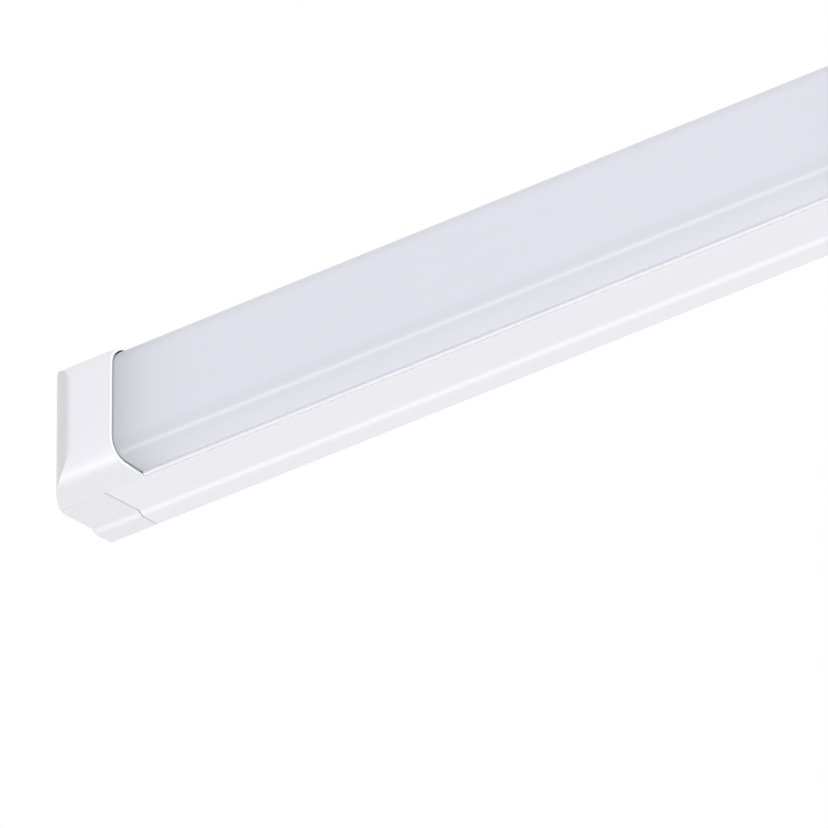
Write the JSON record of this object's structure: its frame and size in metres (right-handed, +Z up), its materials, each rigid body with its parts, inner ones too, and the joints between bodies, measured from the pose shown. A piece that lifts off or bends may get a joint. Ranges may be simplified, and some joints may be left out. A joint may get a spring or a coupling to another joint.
{
  "type": "waterproof tube light fixture",
  "caption": "Waterproof LED batten: white extruded base, opal cover and hooded end caps, with spring mounting clips, cable gland and internal driver.",
  "frame": {"origin": "on the ceiling plane, midway between the screw holes of the two mounting clips", "axes": "+Z up into the ceiling, +X along the fixture towards the cable gland, +Y across it; the cover faces -Z"},
  "size_m": [0.6635, 0.0736, 0.066],
  "materials": {
    "base_plastic": "satin white extruded polycarbonate",
    "opal_cover": "satin opal polycarbonate",
    "cap_plastic": "satin white moulded polycarbonate",
    "gasket_rubber": "dark silicone rubber",
    "screw_steel": "stainless steel",
    "clip_steel": "stainless spring steel",
    "tray_steel": "zinc-plated sheet steel",
    "driver_plastic": "white moulded plastic",
    "terminal_plastic": "pale grey moulded plastic",
    "live_button": "brown moulded plastic",
    "neutral_button": "blue moulded plastic",
    "earth_button": "green moulded plastic",
    "tag_brass": "tinned brass",
    "brown_wire": "brown insulation",
    "blue_wire": "blue insulation",
    "green_wire": "green insulation",
    "red_wire": "red insulation",
    "black_wire": "black insulation",
    "board_white": "white solder mask",
    "led_yellow": "phosphor-filled resin",
    "connector_plastic": "white moulded plastic",
    "gland_nylon": "pale grey nylon"
  },
  "bodies": {
    "base": {"base_housing": "base_plastic", "diffuser_cover": "opal_cover", "gear_tray": "tray_steel", "tray_screws": "screw_steel", "driver_case": "driver_plastic", "driver_lid": "driver_plastic", "driver_screws": "screw_steel", "terminal_block": "terminal_plastic", "earth_tag": "tag_brass", "earth_screw": "screw_steel", "live_wire": "brown_wire", "neutral_wire": "blue_wire", "earth_wire": "green_wire", "led_positive_wire": "red_wire", "led_negative_wire": "black_wire", "web_grommet": "gasket_rubber", "led_board_left": "board_white", "led_board_right": "board_white", "led_packages_left": "led_yellow", "led_packages_right": "led_yellow", "board_connector": "connector_plastic", "board_link": "connector_plastic"},
    "left_cap": {"left_end_cap": "cap_plastic", "left_gasket": "gasket_rubber", "left_hood_seal": "gasket_rubber", "left_cap_screws": "screw_steel"},
    "right_cap": {"right_end_cap": "cap_plastic", "right_gasket": "gasket_rubber", "right_hood_seal": "gasket_rubber", "right_cap_screws": "screw_steel", "gland_body": "gland_nylon", "gland_washer": "gasket_rubber", "gland_locknut": "gland_nylon", "gland_seal": "gasket_rubber"},
    "gland_clamp": {"gland_clamp_ring": "gland_nylon"},
    "gland_nut": {"gland_nut": "gland_nylon"},
    "clip_left": {"mounting_clip_left": "clip_steel"},
    "clip_right": {"mounting_clip_right": "clip_steel"},
    "button_earth": {"release_button_earth": "earth_button"},
    "button_neutral": {"release_button_neutral": "neutral_button"},
    "button_live": {"release_button_live": "live_button"}
  },
  "joints": [
    {"name": "left_cap_pull", "type": "slide", "parent": "base", "child": "left_cap", "axis": [-1, 0, 0], "range_m": [0, 0.06]},
    {"name": "right_cap_pull", "type": "slide", "parent": "base", "child": "right_cap", "axis": [1, 0, 0], "range_m": [0, 0.06]},
    {"name": "gland_clamp_slide", "type": "slide", "parent": "right_cap", "child": "gland_clamp", "axis": [1, 0, 0], "range_m": [0, 0.003]},
    {"name": "gland_nut_turn", "type": "hinge", "parent": "gland_clamp", "child": "gland_nut", "pos_m": [0.33, 0, -0.02], "axis": [1, 0, 0], "range_deg": [0, 722]},
    {"name": "clip_left_slide", "type": "slide", "parent": "base", "child": "clip_left", "axis": [1, 0, 0], "range_m": [-0.08, 0.08]},
    {"name": "clip_right_slide", "type": "slide", "parent": "base", "child": "clip_right", "axis": [1, 0, 0], "range_m": [-0.08, 0.08]},
    {"name": "earth_release", "type": "slide", "parent": "base", "child": "button_earth", "axis": [-1, 0, 0], "range_m": [0, 0.002], "stiffness_N_per_m": 300, "springref_m": -0.001},
    {"name": "neutral_release", "type": "slide", "parent": "base", "child": "button_neutral", "axis": [-1, 0, 0], "range_m": [0, 0.002], "stiffness_N_per_m": 300, "springref_m": -0.001},
    {"name": "live_release", "type": "slide", "parent": "base", "child": "button_live", "axis": [-1, 0, 0], "range_m": [0, 0.002], "stiffness_N_per_m": 300, "springref_m": -0.001}
  ],
  "couplings": [
    {"joint": "gland_nut_turn", "follows": "gland_clamp_slide", "rad_per_m": 4188.8}
  ]
}
